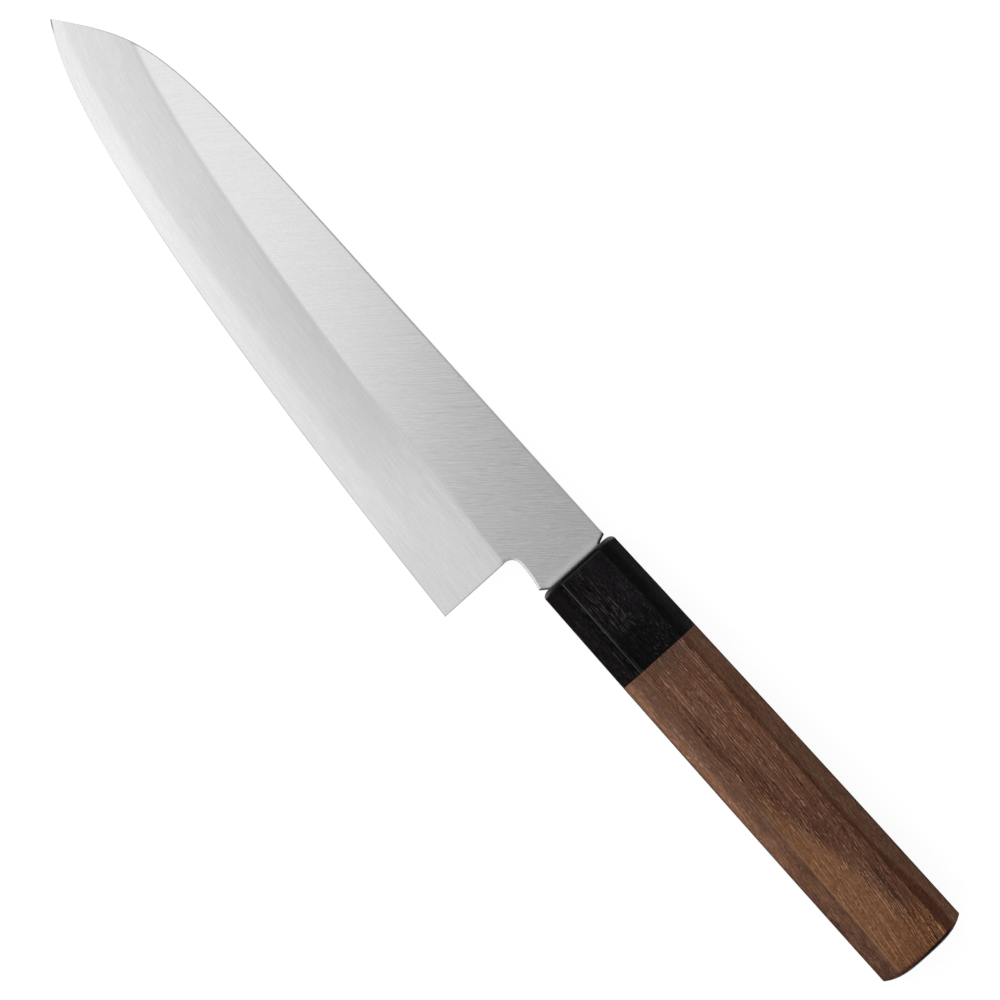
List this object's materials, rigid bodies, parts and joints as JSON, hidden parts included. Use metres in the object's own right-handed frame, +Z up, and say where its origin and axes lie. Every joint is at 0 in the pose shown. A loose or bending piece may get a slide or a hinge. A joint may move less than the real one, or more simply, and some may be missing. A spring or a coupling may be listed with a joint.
{
  "type": "gyuto knife",
  "caption": "Japanese cook's knife with a laminated wide-bevel blade, a stick tang and an octagonal wooden handle with a dark ferrule.",
  "frame": {"origin": "middle of the knife's footprint, on the surface that it lies on", "axes": "knife lies on its right side: +X from tip to butt, +Y from edge to spine, +Z up out of the blade's left face"},
  "size_m": [0.3252, 0.0468, 0.0216],
  "materials": {
    "core_steel": "hard core steel, stone-polished with fine lines along the edge",
    "cladding_steel": "soft cladding steel, slanting sanding lines on the flats and fine lengthwise lines on the bevels",
    "black_wood": "near-black dense wood, sanded to a low sheen, fine lengthwise grain",
    "walnut": "oiled walnut, open pores and dark lengthwise streaks",
    "resin": "cured amber resin, hidden in the handle"
  },
  "bodies": {
    "root": {"core_steel": "core_steel", "left_cladding": "cladding_steel", "right_cladding": "cladding_steel", "ferrule": "black_wood", "handle_body": "walnut", "tang_adhesive": "resin"}
  },
  "joints": []
}
